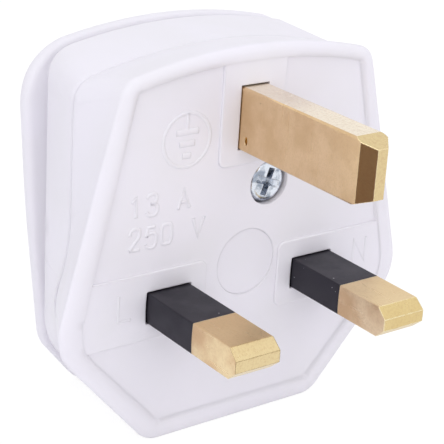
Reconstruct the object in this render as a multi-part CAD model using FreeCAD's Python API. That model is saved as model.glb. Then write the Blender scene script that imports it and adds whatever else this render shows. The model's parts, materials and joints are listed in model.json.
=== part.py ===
import FreeCAD, Part
import math
import os
from collections import namedtuple

# A rewirable three pin mains plug with a 13 A cartridge fuse, standing on its flat cord end.
# Case frame, in millimetres: x to the right seen from the pin side, y into the plug from the
# crest of the rim round the pin face, z up from the foot. The pins point towards -y.

# Pins: the standard's own sizes, reaches measured from the rim's crest
pin_pitch = 22.23
earth_rise = 22.23
pin_width = 6.35
pin_height = 3.97
pin_reach = 17.7
pin_side_bulge = 0.08
pin_edge_blend = 0.14
pin_tip_length = 1.4
pin_tip_height = 1.5
earth_width = 3.97
earth_height = 7.92
earth_reach = 22.73
earth_edge_blend = 0.35
earth_tip_length = 1.6
earth_tip_slope = 2.56
earth_tip_width = 1.42
earth_tip_height = 5.94
sleeve_reach = 9.2
sleeve_wall = 0.7
pit_from_face = 1.35
pit_above_edge = 1.5
pit_length = 0.5
pit_height = 1.1
pit_depth = 0.7

# Case depths: from the rim's crest back to the seam, and from the back forward to the neck
face_depth = 0.5
rim_depth = 0.9
floor_thickness = 3.1
seam_depth = 8.0
seam_bevel = 0.22
body_depth = 20.8
back_wall = 2.4
case_wall = 2.0
lip_front_edge = 0.8
lip_land = 0.3
lip_edge = 1.2
flare_length = 1.7
groove_sink = 2.0
groove_step = 0.3
back_dome_inset = 7.2
back_dome_rise = 0.2
foot_trim = 0.1

# Case outlines, one set for each depth: half widths, with the heights of crowns and shoulders
# above the earth pin's axis and those of waists and hips above the line of the two lower pins
pin_line = 18.65
face_crown = 6.87
face_shoulder_x = 16.5
face_shoulder = 5.02
face_hip_x = 23.7
face_hip = -3.0
face_foot_x = 11.8
face_foot_z = 2.75
front_crown = 8.9
front_shoulder_x = 18.45
front_shoulder = 6.37
front_hip_x = 26.9
front_hip = -3.2
front_foot_x = 13.25
seam_crown = 7.76
seam_shoulder_x = 20.6
seam_shoulder = 4.4
seam_waist = 6.2
seam_hip_x = 23.2
seam_hip = -2.0
seam_foot_x = 12.3
neck_crown = 8.3
neck_shoulder_x = 18.95
neck_shoulder = 5.75
neck_waist = 5.0
neck_hip_x = 18.85
neck_hip = -9.6
neck_foot_x = 11.9
lip_crown = 8.4
lip_shoulder_x = 21.35
lip_shoulder = 4.5
lip_waist_x = 20.15
lip_waist = 7.5
lip_hip_x = 18.1
lip_hip = -11.6
lip_foot_x = 12.3

# How far from its corner each outline's curve begins
face_corner_blend = 0.3
face_hip_blend = 3.8
front_shoulder_blend = 1.8
front_hip_blend = 3.8
straight_blend = 2.0
seam_shoulder_blend = 2.3
seam_hip_blend = 4.0
neck_shoulder_blend = 3.2
neck_hip_blend = 3.2
waist_blend = 4.0
lip_shoulder_blend = 6.3
lip_waist_blend = 5.0
lip_hip_blend = 1.6
foot_blend = 1.8
least_blend = 0.25

# Relief of the pin face
crest_share = 0.45
step_share = 0.12
panel_rise = 0.3
panel_gap = 11.2
panel_above_pin = 4.6
panel_below_pin = 4.3
earth_panel_width = 9.4
earth_panel_below_pin = 6.0
panel_corner = 1.0
panel_edge_blend = 0.15
roundel_x = 0.6
roundel_above_pins = 3.0
roundel_diameter = 8.8
roundel_sink = 0.2

# Cover screw, its washer and the insert that takes it
screw_x = 3.4
screw_below_earth = 9.13
screw_diameter = 3.0
screw_head_diameter = 5.5
screw_head_height = 1.9
screw_head_blend = 0.76
screw_seat_depth = 2.2
screw_end_gap = 1.0
recess_span = 3.6
recess_blade = 0.95
recess_depth = 1.3
recess_taper = 0.6
recess_turn = 20.0
boss_diameter = 6.8
boss_past_seam = 0.3
washer_diameter = 6.0
washer_thickness = 0.8
insert_diameter = 4.4
insert_length = 6.0

# Fuse and its clips
fuse_length = 25.4
fuse_cap_diameter = 6.35
fuse_cap_length = 5.6
fuse_cap_wall = 0.3
fuse_tube_wall = 0.9
fuse_wire_diameter = 0.4
clip_length = 4.8
clip_sheet = 0.5
clip_foot_width = 6.6
clip_mouth = 4.6
line_head_thickness = 2.4

# Terminals
block_width = 7.0
block_depth = 6.8
earth_block_above = 4.6
earth_block_below = 5.0
neutral_block_above = 6.4
neutral_block_below = 3.2
live_block_height = 6.0
live_block_above_earth = 3.4
live_block_gap = 0.6
wire_hole_diameter = 3.2
terminal_screw_diameter = 3.0
terminal_head_diameter = 4.8
terminal_head_height = 1.5
slot_width = 0.8
slot_depth = 0.7

# Cord grip and cord inlet
inlet_diameter = 8.4
inlet_chamfer = 0.5
grip_above_foot = 5.9
grip_bar_length = 21.6
grip_bar_width = 6.0
grip_bar_thickness = 2.8
grip_bar_arch = 0.6
grip_bar_blend = 0.6
grip_post_diameter = 5.4
grip_post_pitch = 17.0
grip_post_height = 7.8
grip_screw_diameter = 2.5
grip_screw_head_diameter = 4.6
grip_screw_head_height = 1.5
grip_screw_grip = 5.0
grip_ridge_height = 0.7
grip_ridge_width = 1.0

# Inner walls
barrier_thickness = 1.0
barrier_inset = 0.6

# Clearances
pin_clearance = 0.15
earth_clearance = 0.22
head_clearance = 0.35
shank_clearance = 0.2
thread_clearance = 0.02
fuse_clearance = 0.03

# Derived places
floor_back = face_depth + floor_thickness
back_edge = body_depth - back_dome_rise - lip_edge
lip_depth = back_edge - lip_land - lip_front_edge
neck_depth = lip_depth - flare_length
back_inner = body_depth - back_wall
line_x = -pin_pitch / 2
neutral_x = pin_pitch / 2
earth_z = pin_line + earth_rise
screw_z = earth_z - screw_below_earth
head_seat = face_depth + screw_seat_depth
boss_back = seam_depth + boss_past_seam
post_front = boss_back + washer_thickness
screw_end = post_front + insert_length + screw_end_gap
pad_back = floor_back + line_head_thickness
fuse_radius = fuse_cap_diameter / 2
fuse_y = pad_back + clip_sheet + fuse_clearance + fuse_radius
live_block_top = earth_z + live_block_above_earth
live_block_foot = live_block_top - live_block_height
fuse_top = live_block_foot - live_block_gap
fuse_foot = fuse_top - fuse_length
clip_inset = (fuse_cap_length - clip_length) / 2
live_block_front = pad_back + clip_sheet
grip_seat = floor_back + grip_post_height

Outline = namedtuple("Outline", "crown shoulder waist hip foot")


def vec(x, y, z):
    return FreeCAD.Vector(x, y, z)


def between(a, b, share):
    return a + (b - a) * share


def above_pins(x, rise, blend):
    return (x, pin_line + rise, blend)


def below_crown(x, rise, blend):
    return (x, earth_z + rise, blend)


def on_foot(x):
    # the foot is lofted a little low and then cut flat
    return (x, -foot_trim, foot_blend)


def straight_waist(shoulder, hip):
    # a waist corner on the straight side line, so that every outline has the same corners
    return ((shoulder[0] + hip[0]) / 2, (shoulder[1] + hip[1]) / 2, straight_blend)


def straight_sided(crown, shoulder, hip, foot):
    return Outline(earth_z + crown, shoulder, straight_waist(shoulder, hip), hip, foot)


face = straight_sided(
    face_crown,
    below_crown(face_shoulder_x, face_shoulder, face_corner_blend),
    above_pins(face_hip_x, face_hip, face_hip_blend),
    (face_foot_x, face_foot_z, face_corner_blend),
)
front = straight_sided(
    front_crown,
    below_crown(front_shoulder_x, front_shoulder, front_shoulder_blend),
    above_pins(front_hip_x, front_hip, front_hip_blend),
    on_foot(front_foot_x),
)
seam = Outline(
    earth_z + seam_crown,
    below_crown(seam_shoulder_x, seam_shoulder, seam_shoulder_blend),
    above_pins(seam_shoulder_x, seam_waist, waist_blend),
    above_pins(seam_hip_x, seam_hip, seam_hip_blend),
    on_foot(seam_foot_x),
)
neck = Outline(
    earth_z + neck_crown,
    below_crown(neck_shoulder_x, neck_shoulder, neck_shoulder_blend),
    above_pins(neck_shoulder_x, neck_waist, waist_blend),
    above_pins(neck_hip_x, neck_hip, neck_hip_blend),
    on_foot(neck_foot_x),
)
lip = Outline(
    earth_z + lip_crown,
    below_crown(lip_shoulder_x, lip_shoulder, lip_shoulder_blend),
    above_pins(lip_waist_x, lip_waist, lip_waist_blend),
    above_pins(lip_hip_x, lip_hip, lip_hip_blend),
    on_foot(lip_foot_x),
)


def mix(one, two, share):
    # the outline that lies a share of the way from one to two
    corners = []
    for a, b in zip(one[1:], two[1:]):
        corners.append(tuple(between(p, q, share) for p, q in zip(a, b)))
    return Outline(between(one.crown, two.crown, share), *corners)


def chain(outline):
    # the right half as a chain of points, with the top arc's control point first
    points = [(0.0, 2 * outline.crown - outline.shoulder[1])]
    points += [corner[:2] for corner in outline[1:]]
    points.append((0.0, outline.foot[1]))
    return points


def unit(a, b):
    length = math.hypot(b[0] - a[0], b[1] - a[1])
    return (b[0] - a[0]) / length, (b[1] - a[1]) / length


def inset(outline, distance):
    # every edge of the outline moved inwards by the distance
    points = chain(outline)
    corners = []
    for i, corner in enumerate(outline[1:]):
        before = unit(points[i], points[i + 1])
        after = unit(points[i + 1], points[i + 2])
        normal_a = (before[1], -before[0])
        normal_b = (after[1], -after[0])
        turn = 1 + normal_a[0] * normal_b[0] + normal_a[1] * normal_b[1]
        x = corner[0] + distance * (normal_a[0] + normal_b[0]) / turn
        z = corner[1] + distance * (normal_a[1] + normal_b[1]) / turn
        corners.append((x, z, max(corner[2] - distance / 2, least_blend)))
    return Outline(outline.crown - distance, *corners)


def curve(*poles):
    bezier = Part.BezierCurve()
    bezier.setPoles(list(poles))
    return bezier.toShape()


def segment(a, b):
    return Part.LineSegment(a, b).toShape()


def wire(outline, y):
    # the closed outline at a depth: a crown arc, four blended corners a side and a flat foot
    points = chain(outline)
    ends = []
    for i, corner in enumerate(outline[1:]):
        back = unit(points[i + 1], points[i])
        on = unit(points[i + 1], points[i + 2])
        blend = corner[2]
        start = (corner[0] + back[0] * blend, corner[1] + back[1] * blend)
        end = (corner[0] + on[0] * blend, corner[1] + on[1] * blend)
        ends.append((start, corner[:2], end))

    def right(p):
        return vec(p[0], y, p[1])

    def left(p):
        return vec(-p[0], y, p[1])

    first = ends[0][0]
    top = (0.0, 2 * outline.crown - first[1])
    edges = [curve(left(first), right(top), right(first))]
    for i, (start, corner, end) in enumerate(ends):
        edges.append(curve(right(start), right(corner), right(end)))
        if i < len(ends) - 1:
            edges.append(segment(right(end), right(ends[i + 1][0])))
    edges.append(segment(right(ends[-1][2]), left(ends[-1][2])))
    for i in range(len(ends) - 1, -1, -1):
        start, corner, end = ends[i]
        edges.append(curve(left(end), left(corner), left(start)))
        if i:
            edges.append(segment(left(start), left(ends[i - 1][2])))
    return Part.Wire(edges)


def loft(stations):
    # a solid ruled from outline to outline; stations are (outline, depth) pairs
    return Part.makeLoft([wire(outline, y) for outline, y in stations], True, True)


def box(x0, x1, y0, y1, z0, z1):
    return Part.makeBox(x1 - x0, y1 - y0, z1 - z0, vec(x0, y0, z0))


def rod_y(x, z, radius, y0, y1):
    return Part.makeCylinder(radius, y1 - y0, vec(x, y0, z), vec(0, 1, 0))


def rod_z(x, y, radius, z0, z1):
    return Part.makeCylinder(radius, z1 - z0, vec(x, y, z0), vec(0, 0, 1))


def rod_x(y, z, radius, x0, x1):
    return Part.makeCylinder(radius, x1 - x0, vec(x0, y, z), vec(1, 0, 0))


def side_outline(depth):
    # the base's outer outline at a depth between the rim and the seam
    return mix(front, seam, (depth - rim_depth) / (seam_depth - seam_bevel - rim_depth))


def pin_section(x, y, width, height, bulge, blend):
    # a flat pin's section: flat above and below, with bulged sides and blended edges
    flat = width / 2 - bulge
    rise = height / 2
    lean = 2 * bulge * blend / (rise - blend)
    corner = flat - lean
    edges = []
    for sx, sz in ((1, 1), (-1, -1)):
        def at(px, pz):
            return vec(x + sx * px, y, pin_line + sz * pz)

        edges.append(segment(at(-(corner - blend), rise), at(corner - blend, rise)))
        edges.append(curve(at(corner - blend, rise), at(corner, rise), at(flat, rise - blend)))
        edges.append(curve(at(flat, rise - blend), at(flat + 2 * bulge, 0), at(flat, blend - rise)))
        edges.append(curve(at(flat, blend - rise), at(corner, -rise), at(corner - blend, -rise)))
    return Part.Wire(edges)


def pin_bar(x, width, height, bulge, y0, y1):
    section = Part.Face(pin_section(x, y0, width, height, bulge, pin_edge_blend))
    return section.extrude(vec(0, y1 - y0, 0))


def sleeved_bar(x, y0, y1, growth):
    # the sleeve's own outside, grown evenly by a clearance
    return pin_bar(x, pin_width + 2 * growth, pin_height + 2 * growth, pin_side_bulge, y0, y1)


def pin_neck(x, y0, y1, growth):
    # the thinner shank that the sleeve is moulded on
    shrink = 2 * (sleeve_wall - growth)
    return pin_bar(x, pin_width - shrink, pin_height - shrink, pin_side_bulge, y0, y1)


def tip_wedges(axis, reach, length, size, tip_size, out, width):
    # what is milled off two opposite sides, out and away from it, to taper a pin's tip
    drop = (size - tip_size) / 2
    across = out.cross(vec(0, 1, 0)) * width
    near = (length * 1.5 - reach, (size + drop) / 2)
    far = (-reach - length / 2, (tip_size - drop) / 2)
    wedges = []
    for side in (out, -out):
        corners = [axis + vec(0, y, 0) + side * rise for y, rise in (near, far, (far[0], near[1]), near)]
        outline = Part.makePolygon([corner - across for corner in corners])
        wedges.append(Part.Face(outline).extrude(across * 2))
    return wedges


def flat_pin(x):
    # the bare brass end with its wedge tip, and the neck that runs through the base's floor
    bare = sleeved_bar(x, -pin_reach, -sleeve_reach, 0)
    axis = vec(x, 0, pin_line)
    bare = bare.cut(
        tip_wedges(axis, pin_reach, pin_tip_length, pin_height, pin_tip_height, vec(0, 0, 1), pin_width)
    )
    return bare.fuse(pin_neck(x, -sleeve_reach, floor_back, 0))


def blended_box(x0, x1, y0, y1, z0, z1, blend):
    # a box whose four edges along y are rounded
    block = box(x0, x1, y0, y1, z0, z1)
    edges = []
    for edge in block.Edges:
        first, last = edge.Vertexes
        if math.isclose(first.X, last.X) and math.isclose(first.Z, last.Z):
            edges.append(edge)
    return block.makeFillet(blend, edges)


def terminal_block(x, y0, z0, z1):
    half = block_width / 2
    return box(x - half, x + half, y0, y0 + block_depth, z0, z1)


def clamp_hole(x, z, y0):
    # the threaded hole from a block's back down to the axis of its wire hole
    radius = terminal_screw_diameter / 2 + thread_clearance
    return rod_y(x, z, radius, y0 + block_depth / 2, y0 + block_depth)


def make_earth_pin():
    half_w = earth_width / 2
    half_h = earth_height / 2
    shank = blended_box(
        -half_w, half_w, -earth_reach, floor_back, earth_z - half_h, earth_z + half_h, earth_edge_blend
    )
    axis = vec(0, 0, earth_z)
    sides = tip_wedges(
        axis, earth_reach, earth_tip_length, earth_width, earth_tip_width, vec(1, 0, 0), earth_height
    )
    ends = tip_wedges(
        axis, earth_reach, earth_tip_slope, earth_height, earth_tip_height, vec(0, 0, 1), earth_width
    )
    block = terminal_block(0, floor_back, earth_z - earth_block_below, earth_z + earth_block_above)
    pin = shank.cut(sides + ends).fuse(block)
    half = block_width / 2
    wire_y = floor_back + block_depth / 2
    pin = pin.cut(rod_x(wire_y, earth_z, wire_hole_diameter / 2, -half, half))
    pin = pin.cut(clamp_hole(0, earth_z, floor_back))
    return pin.cut(locating_pit())


def locating_pit():
    # the small oval dimple in the earth pin's side, close to the face
    pit = Part.makeSphere(1.0)
    stretch = FreeCAD.Matrix()
    stretch.scale(pit_depth, pit_length / 2, pit_height / 2)
    pit = pit.transformGeometry(stretch)
    pit_y = face_depth - panel_rise - pit_from_face
    pit.translate(vec(-earth_width / 2, pit_y, earth_z - earth_height / 2 + pit_above_edge))
    return pit


def make_neutral_pin():
    foot = pin_line - neutral_block_below
    top = pin_line + neutral_block_above
    block = terminal_block(neutral_x, floor_back, foot, top)
    pin = flat_pin(neutral_x).fuse(block)
    wire_y = floor_back + block_depth / 2
    pin = pin.cut(rod_z(neutral_x, wire_y, wire_hole_diameter / 2, foot, top))
    return pin.cut(clamp_hole(neutral_x, neutral_screw_z(), floor_back))


def neutral_screw_z():
    return pin_line + (neutral_block_above - neutral_block_below) / 2


def make_line_pin():
    # the head behind the floor carries the lower fuse clip
    half = block_width / 2
    top = pin_line + pin_height / 2
    head = box(line_x - half, line_x + half, floor_back, pad_back, fuse_foot, top)
    return flat_pin(line_x).fuse(head)


def make_sleeve(x):
    outside = sleeved_bar(x, -sleeve_reach, floor_back, 0)
    return outside.cut(pin_neck(x, -sleeve_reach, floor_back, 0))


def make_clip(clip_foot, clip_top, foot_top):
    # a sprung ring round the fuse cap, open at the back, on a flat foot
    inner = fuse_radius + fuse_clearance
    outer = inner + clip_sheet
    ring = rod_z(line_x, fuse_y, outer, clip_foot, clip_top)
    half = clip_foot_width / 2
    foot = box(line_x - half, line_x + half, pad_back, pad_back + clip_sheet, clip_foot, foot_top)
    clip = ring.fuse(foot)
    clip = clip.cut(rod_z(line_x, fuse_y, inner, clip_foot, clip_top))
    mouth = clip_mouth / 2
    return clip.cut(box(line_x - mouth, line_x + mouth, fuse_y, fuse_y + 2 * outer, clip_foot, clip_top))


def make_live_terminal():
    block = terminal_block(line_x, live_block_front, live_block_foot, live_block_top)
    half = block_width / 2
    middle = (live_block_foot + live_block_top) / 2
    wire_y = live_block_front + block_depth / 2
    block = block.cut(rod_x(wire_y, middle, wire_hole_diameter / 2, line_x - half, line_x + half))
    return block.cut(clamp_hole(line_x, middle, live_block_front))


def slotted_screw(x, z, seat, length, diameter, head_diameter, head_height):
    # a cheese head screw driven from the back: its head sits on the seat, its shank runs forwards
    head = rod_y(x, z, head_diameter / 2, seat, seat + head_height)
    shank = rod_y(x, z, diameter / 2, seat - length, seat)
    half = slot_width / 2
    wide = head_diameter
    slot = box(x - wide, x + wide, seat + head_height - slot_depth, seat + head_height, z - half, z + half)
    return head.fuse(shank).cut(slot)


def make_terminal_screw(x, z, block_front):
    length = block_depth / 2 - wire_hole_diameter / 2
    seat = block_front + block_depth
    return slotted_screw(
        x, z, seat, length, terminal_screw_diameter, terminal_head_diameter, terminal_head_height
    )


def make_fuse_tube():
    outer = fuse_radius - fuse_cap_wall - fuse_clearance
    end = fuse_cap_wall + fuse_clearance
    tube = rod_z(line_x, fuse_y, outer, fuse_foot + end, fuse_top - end)
    return tube.cut(rod_z(line_x, fuse_y, outer - fuse_tube_wall, fuse_foot, fuse_top))


def make_fuse_cap(closed_end, open_end):
    # a drawn cup over one end of the tube
    low = min(closed_end, open_end)
    high = max(closed_end, open_end)
    cap = rod_z(line_x, fuse_y, fuse_radius, low, high)
    inner_low = low + fuse_cap_wall if closed_end == low else low
    inner_high = high - fuse_cap_wall if closed_end == high else high
    return cap.cut(rod_z(line_x, fuse_y, fuse_radius - fuse_cap_wall, inner_low, inner_high))


def make_fuse_wire():
    radius = fuse_wire_diameter / 2
    return rod_z(line_x, fuse_y, radius, fuse_foot + fuse_cap_wall, fuse_top - fuse_cap_wall)


def make_cover_screw():
    top = head_seat - screw_head_height
    head = rod_y(screw_x, screw_z, screw_head_diameter / 2, top, head_seat)
    rim_edges = [edge for edge in head.Edges if edge.BoundBox.YMax < top + screw_head_height / 2]
    head = head.makeFillet(screw_head_blend, rim_edges)
    shank = rod_y(screw_x, screw_z, screw_diameter / 2, head_seat, screw_end)
    screw = head.fuse(shank)
    return screw.cut(cross_recess(top))


def cross_recess(top):
    # the driver's cross, narrowing as it goes in
    blades = []
    long_half = recess_span / 2
    short_half = recess_blade / 2
    mouth = [
        (-long_half, -short_half),
        (long_half, -short_half),
        (long_half, short_half),
        (-long_half, short_half),
    ]
    for turn in (0, 90):
        rings = []
        for depth, share in ((0.0, 1.0), (recess_depth, recess_taper)):
            points = [vec(screw_x + px * share, top + depth, screw_z + pz * share) for px, pz in mouth]
            rings.append(Part.makePolygon(points + points[:1]))
        blade = Part.makeLoft(rings, True, True)
        blade.rotate(vec(screw_x, top, screw_z), vec(0, 1, 0), turn + recess_turn)
        blades.append(blade)
    return blades[0].fuse(blades[1])


def make_washer():
    ring = rod_y(screw_x, screw_z, washer_diameter / 2, boss_back, post_front)
    return ring.cut(rod_y(screw_x, screw_z, screw_diameter / 2 + thread_clearance, boss_back, post_front))


def make_insert():
    end = post_front + insert_length
    insert = rod_y(screw_x, screw_z, insert_diameter / 2, post_front, end)
    return insert.cut(rod_y(screw_x, screw_z, screw_diameter / 2 + thread_clearance, post_front, end))


def grip_screw_x(side):
    return side * grip_post_pitch / 2


def make_grip_bar():
    half = grip_bar_length / 2
    low = grip_above_foot - grip_bar_width / 2
    high = grip_above_foot + grip_bar_width / 2
    bar = blended_box(-half, half, grip_seat, grip_seat + grip_bar_thickness, low, high, grip_bar_blend)
    chord = inlet_diameter / 2
    radius = (chord ** 2 + grip_bar_arch ** 2) / (2 * grip_bar_arch)
    bar = bar.cut(rod_z(0, grip_seat + grip_bar_arch - radius, radius, low, high))
    for side in (-1, 1):
        hole = grip_screw_diameter / 2 + shank_clearance
        bar = bar.cut(
            rod_y(grip_screw_x(side), grip_above_foot, hole, grip_seat, grip_seat + grip_bar_thickness)
        )
    return bar


def make_grip_screw(side):
    seat = grip_seat + grip_bar_thickness
    length = grip_bar_thickness + grip_screw_grip
    return slotted_screw(
        grip_screw_x(side),
        grip_above_foot,
        seat,
        length,
        grip_screw_diameter,
        grip_screw_head_diameter,
        grip_screw_head_height,
    )


def inlet_cutter():
    # the cord inlet: a round hole through the foot on the seam, with its mouth eased
    radius = inlet_diameter / 2
    hole = rod_z(0, seam_depth, radius, -case_wall, 2 * case_wall)
    mouth = Part.makeCone(
        radius + inlet_chamfer, radius, inlet_chamfer, vec(0, seam_depth, 0), vec(0, 0, 1)
    )
    return hole.fuse(mouth)


def below_foot():
    # what the flat foot is cut with
    return box(-front_hip_x, front_hip_x, 0, body_depth, -case_wall, 0)


def face_recess():
    # what the rim stands round: the pin face's outline, with a steep step up to the rim
    rim_foot = mix(face, front, step_share)
    return loft([(face, face_depth), (rim_foot, 0.0), (rim_foot, -face_depth)])


def eased_panel(x0, x1, z0, z1):
    # a raised panel with rounded corners, its front edges eased
    front_y = face_depth - panel_rise
    panel = blended_box(x0, x1, front_y, face_depth, z0, z1, panel_corner)
    edges = [edge for edge in panel.Edges if edge.BoundBox.YMax < face_depth - panel_rise / 2]
    return panel.makeFillet(panel_edge_blend, edges)


def face_panels(recess):
    # shallow raised panels round the three pins
    far = front_hip_x
    parts = []
    for side in (-1, 1):
        near = side * panel_gap / 2
        x0 = min(near, side * far)
        x1 = max(near, side * far)
        z0 = pin_line - panel_below_pin
        z1 = pin_line + panel_above_pin
        parts.append(eased_panel(x0, x1, z0, z1))
    half = earth_panel_width / 2
    z0 = earth_z - earth_panel_below_pin
    parts.append(eased_panel(-half, half, z0, front.crown))
    return [part.common(recess) for part in parts]


def make_base():
    stations = []
    for degrees in range(0, 91, 15):
        angle = math.radians(degrees)
        share = between(crest_share, 1.0, math.sin(angle))
        stations.append((mix(face, front, share), rim_depth * (1 - math.cos(angle))))
    stations.append((seam, seam_depth - seam_bevel))
    stations.append((inset(seam, seam_bevel), seam_depth))
    shell = loft(stations)
    recess = face_recess()
    shell = shell.cut(recess)
    shell = shell.fuse(face_panels(recess))
    past_seam = seam_depth + seam_bevel
    cavity = loft(
        [
            (inset(side_outline(floor_back), case_wall), floor_back),
            (inset(side_outline(past_seam), case_wall), past_seam),
        ]
    )
    shell = shell.cut(cavity)
    shell = shell.fuse(base_fittings())
    shell = shell.cut(base_holes() + [below_foot()])
    return shell.removeSplitter()


def base_fittings():
    # what stands on the floor inside: screw boss, clip pad, grip posts, cord ridges, barriers
    sunk = floor_back - floor_thickness / 2
    parts = [rod_y(screw_x, screw_z, boss_diameter / 2, sunk, boss_back)]
    half = block_width / 2
    clip_foot = fuse_top - clip_inset - clip_length
    parts.append(box(line_x - half, line_x + half, sunk, pad_back, clip_foot, live_block_top))
    for side in (-1, 1):
        parts.append(
            rod_y(grip_screw_x(side), grip_above_foot, grip_post_diameter / 2, sunk, grip_seat)
        )
    ridge_half = inlet_diameter / 2
    for shift in (-1, 1):
        z = grip_above_foot + shift * grip_bar_width / 4
        z0 = z - grip_ridge_width / 2
        parts.append(
            box(-ridge_half, ridge_half, sunk, floor_back + grip_ridge_height, z0, z0 + grip_ridge_width)
        )
    for side in (-1, 1):
        x = side * (pin_pitch / 2 - half - barrier_inset - barrier_thickness / 2)
        x0 = x - barrier_thickness / 2
        parts.append(
            box(
                x0,
                x0 + barrier_thickness,
                sunk,
                seam_depth,
                fuse_foot,
                pin_line + neutral_block_above,
            )
        )
    return parts


def base_holes():
    through = floor_back + floor_thickness
    gap = earth_clearance
    cuts = [sleeved_bar(x, -face_depth, through, pin_clearance) for x in (line_x, neutral_x)]
    half_w = earth_width / 2 + gap
    half_h = earth_height / 2 + gap
    cuts.append(box(-half_w, half_w, -face_depth, through, earth_z - half_h, earth_z + half_h))
    head_hole = screw_head_diameter / 2 + head_clearance
    cuts.append(rod_y(screw_x, screw_z, head_hole, -face_depth, head_seat))
    cuts.append(rod_y(screw_x, screw_z, screw_diameter / 2 + shank_clearance, 0, boss_back))
    cuts.append(
        rod_y(roundel_x, pin_line + roundel_above_pins, roundel_diameter / 2, 0, face_depth + roundel_sink)
    )
    for side in (-1, 1):
        hole = grip_screw_diameter / 2 + thread_clearance
        cuts.append(
            rod_y(grip_screw_x(side), grip_above_foot, hole, grip_seat - grip_screw_grip, grip_seat)
        )
    cuts.append(inlet_cutter())
    return cuts


def sunk(outline, distance):
    # the sides and the top moved inwards, with the foot kept where it is
    moved = inset(outline, distance)
    return moved._replace(foot=on_foot(moved.foot[0]))


def make_cover():
    stations = [(inset(seam, seam_bevel), seam_depth), (seam, seam_depth + seam_bevel), (neck, neck_depth)]
    groove = sunk(neck, groove_sink)
    groove_depth = neck_depth + groove_step
    lip_face = sunk(lip, lip_front_edge)
    for degrees in range(0, 91, 15):
        angle = math.radians(degrees)
        depth = between(groove_depth, lip_depth, math.sin(angle))
        stations.append((mix(groove, lip_face, 1 - math.cos(angle)), depth))
    for degrees in range(30, 91, 30):
        angle = math.radians(degrees)
        depth = lip_depth + lip_front_edge * (1 - math.cos(angle))
        stations.append((sunk(lip, lip_front_edge * (1 - math.sin(angle))), depth))
    for degrees in range(0, 91, 15):
        angle = math.radians(degrees)
        depth = back_edge + lip_edge * math.sin(angle)
        stations.append((inset(lip, lip_edge * (1 - math.cos(angle))), depth))
    stations.append((inset(lip, back_dome_inset), body_depth))
    shell = loft(stations)
    inner_seam = inset(seam, case_wall)
    inner_neck = inset(groove, case_wall)
    wall_end = neck_depth - case_wall
    wall_share = (wall_end - seam_depth) / (neck_depth - seam_depth)
    cavity = loft(
        [
            (inner_seam, seam_depth - seam_bevel),
            (inner_seam, seam_depth + seam_bevel),
            (inset(mix(seam, neck, wall_share), case_wall), wall_end),
            (inner_neck, neck_depth),
            (inner_neck, back_inner),
        ]
    )
    shell = shell.cut(cavity)
    post = rod_y(screw_x, screw_z, boss_diameter / 2, post_front, back_inner + back_wall / 2)
    shell = shell.fuse(post)
    insert_hole = insert_diameter / 2 + thread_clearance
    shell = shell.cut(rod_y(screw_x, screw_z, insert_hole, post_front, post_front + insert_length))
    end_hole = screw_diameter / 2 + shank_clearance
    shell = shell.cut(rod_y(screw_x, screw_z, end_hole, post_front, screw_end + screw_end_gap))
    shell = shell.cut([inlet_cutter(), below_foot()])
    return shell.removeSplitter()


def all_nodes():
    lower_clip = fuse_foot + clip_inset
    upper_clip = fuse_top - clip_inset - clip_length
    live_z = (live_block_foot + live_block_top) / 2
    nodes = {
        "base": make_base(),
        "cover": make_cover(),
        "earth_pin": make_earth_pin(),
        "neutral_pin": make_neutral_pin(),
        "line_pin": make_line_pin(),
        "neutral_sleeve": make_sleeve(neutral_x),
        "line_sleeve": make_sleeve(line_x),
        "line_fuse_clip": make_clip(lower_clip, lower_clip + clip_length, lower_clip + clip_length),
        "load_fuse_clip": make_clip(upper_clip, upper_clip + clip_length, live_block_top),
        "live_terminal": make_live_terminal(),
        "fuse_tube": make_fuse_tube(),
        "fuse_wire": make_fuse_wire(),
        "fuse_cap_lower": make_fuse_cap(fuse_foot, fuse_foot + fuse_cap_length),
        "fuse_cap_upper": make_fuse_cap(fuse_top, fuse_top - fuse_cap_length),
        "earth_terminal_screw": make_terminal_screw(0, earth_z, floor_back),
        "neutral_terminal_screw": make_terminal_screw(neutral_x, neutral_screw_z(), floor_back),
        "live_terminal_screw": make_terminal_screw(line_x, live_z, live_block_front),
        "cord_grip_bar": make_grip_bar(),
        "cord_grip_screw_left": make_grip_screw(-1),
        "cord_grip_screw_right": make_grip_screw(1),
        "cover_screw": make_cover_screw(),
        "screw_washer": make_washer(),
        "cover_insert": make_insert(),
    }
    # the origin is midway between the earth pin's tip and the back, on the foot's plane
    crest_y = (earth_reach - body_depth) / 2
    for shape in nodes.values():
        shape.translate(vec(0, crest_y, 0))
    return nodes


os.makedirs("parts", exist_ok=True)
for node, shape in all_nodes().items():
    shape.exportStep(f"parts/{node}.step")
    print(node, shape.ShapeType, len(shape.Solids), shape.isValid(), round(shape.Volume, 2))
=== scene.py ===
import json
import math

import bmesh
import bpy
from mathutils import Matrix, Vector


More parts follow.
